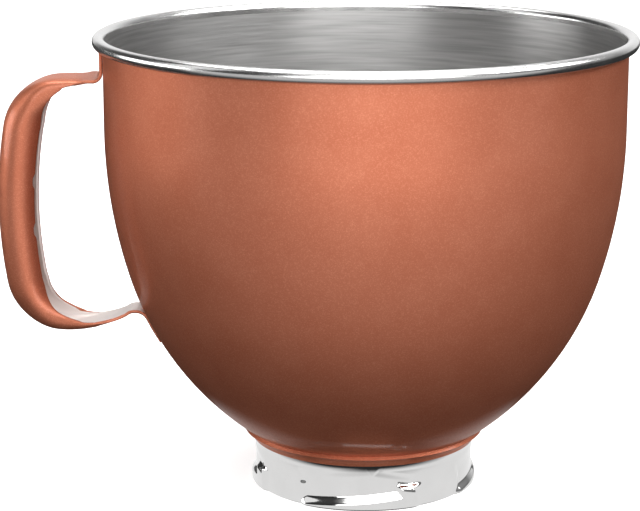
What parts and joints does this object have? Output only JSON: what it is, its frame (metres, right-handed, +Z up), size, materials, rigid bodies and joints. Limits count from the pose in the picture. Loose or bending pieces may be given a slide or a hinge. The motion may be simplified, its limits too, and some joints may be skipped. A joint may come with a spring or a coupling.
{
  "type": "stand mixer bowl",
  "caption": "Deep metal mixing bowl with a rolled rim, a welded C-section side handle and a bayonet foot ring that locks onto a mixer's base plate.",
  "frame": {"origin": "on the bowl's axis at the level it stands on, at the mouth of the bayonet foot", "axes": "+Z up along the bowl's axis, the handle towards -X"},
  "size_m": [0.2703, 0.2286, 0.195],
  "materials": {
    "painted_shell": "gloss metallic",
    "painted_handle": "gloss metallic",
    "bright_foot": "polished",
    "brushed_inside": "brushed round the axis",
    "bare_bead": "polished"
  },
  "bodies": {
    "root": {"bowl": "painted_shell", "handle": "painted_handle", "foot_ring": "bright_foot"}
  },
  "joints": []
}
